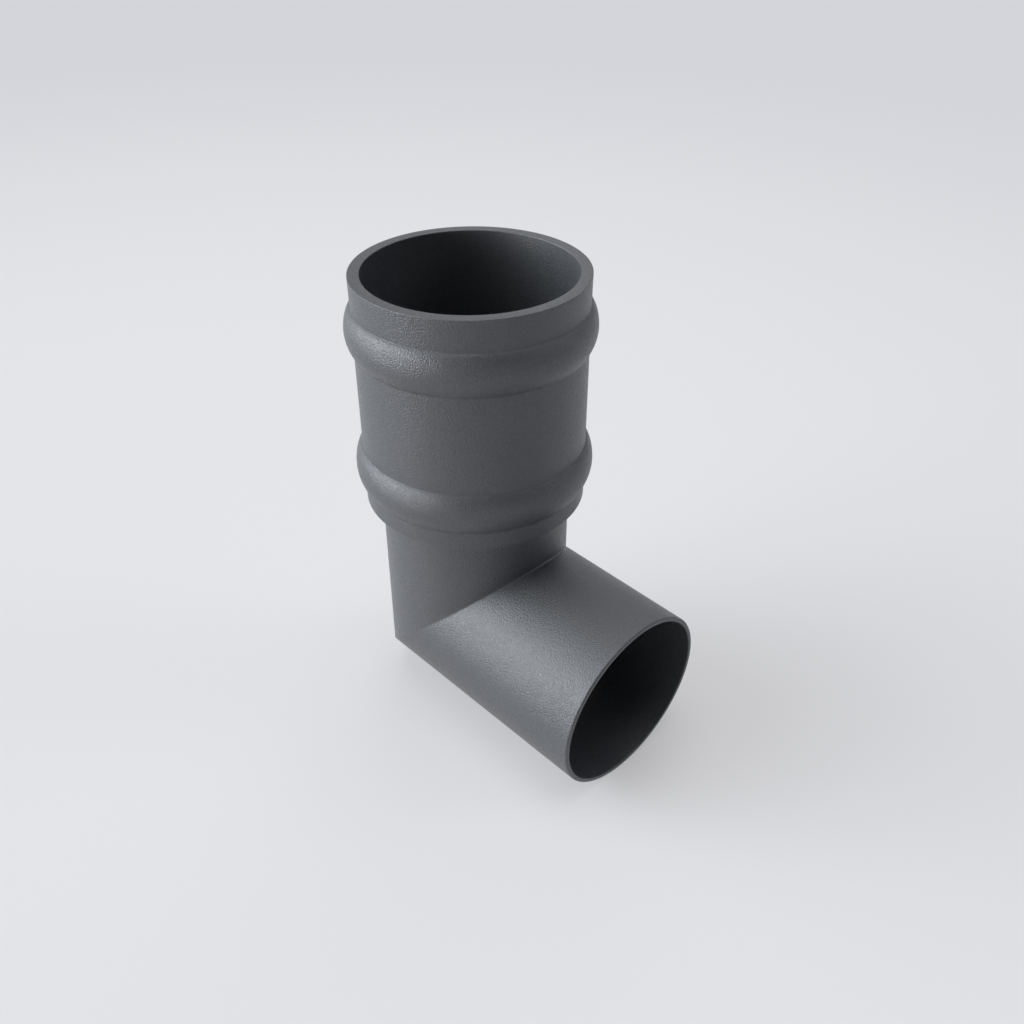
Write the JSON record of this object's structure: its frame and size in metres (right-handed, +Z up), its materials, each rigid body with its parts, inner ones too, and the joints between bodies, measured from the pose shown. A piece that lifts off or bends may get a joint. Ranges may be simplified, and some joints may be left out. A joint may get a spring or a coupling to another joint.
{
  "type": "downpipe bend",
  "caption": "Mitred bend for a round rainwater downpipe: a deep beaded collar takes the pipe's end, and a short open outlet turns the water away from the wall.",
  "frame": {"origin": "centre of the ledge inside the collar on which the downpipe's end sits", "axes": "+Z up the collar's axis, out of its mouth; +X the way the outlet points, seen from above; the part is symmetric about the XZ plane"},
  "size_m": [0.1372, 0.0942, 0.1917],
  "materials": {
    "textured_coat": "fine sand-textured charcoal grey coat, satin to matt"
  },
  "bodies": {
    "root": {"downpipe_bend": "textured_coat"}
  },
  "joints": []
}
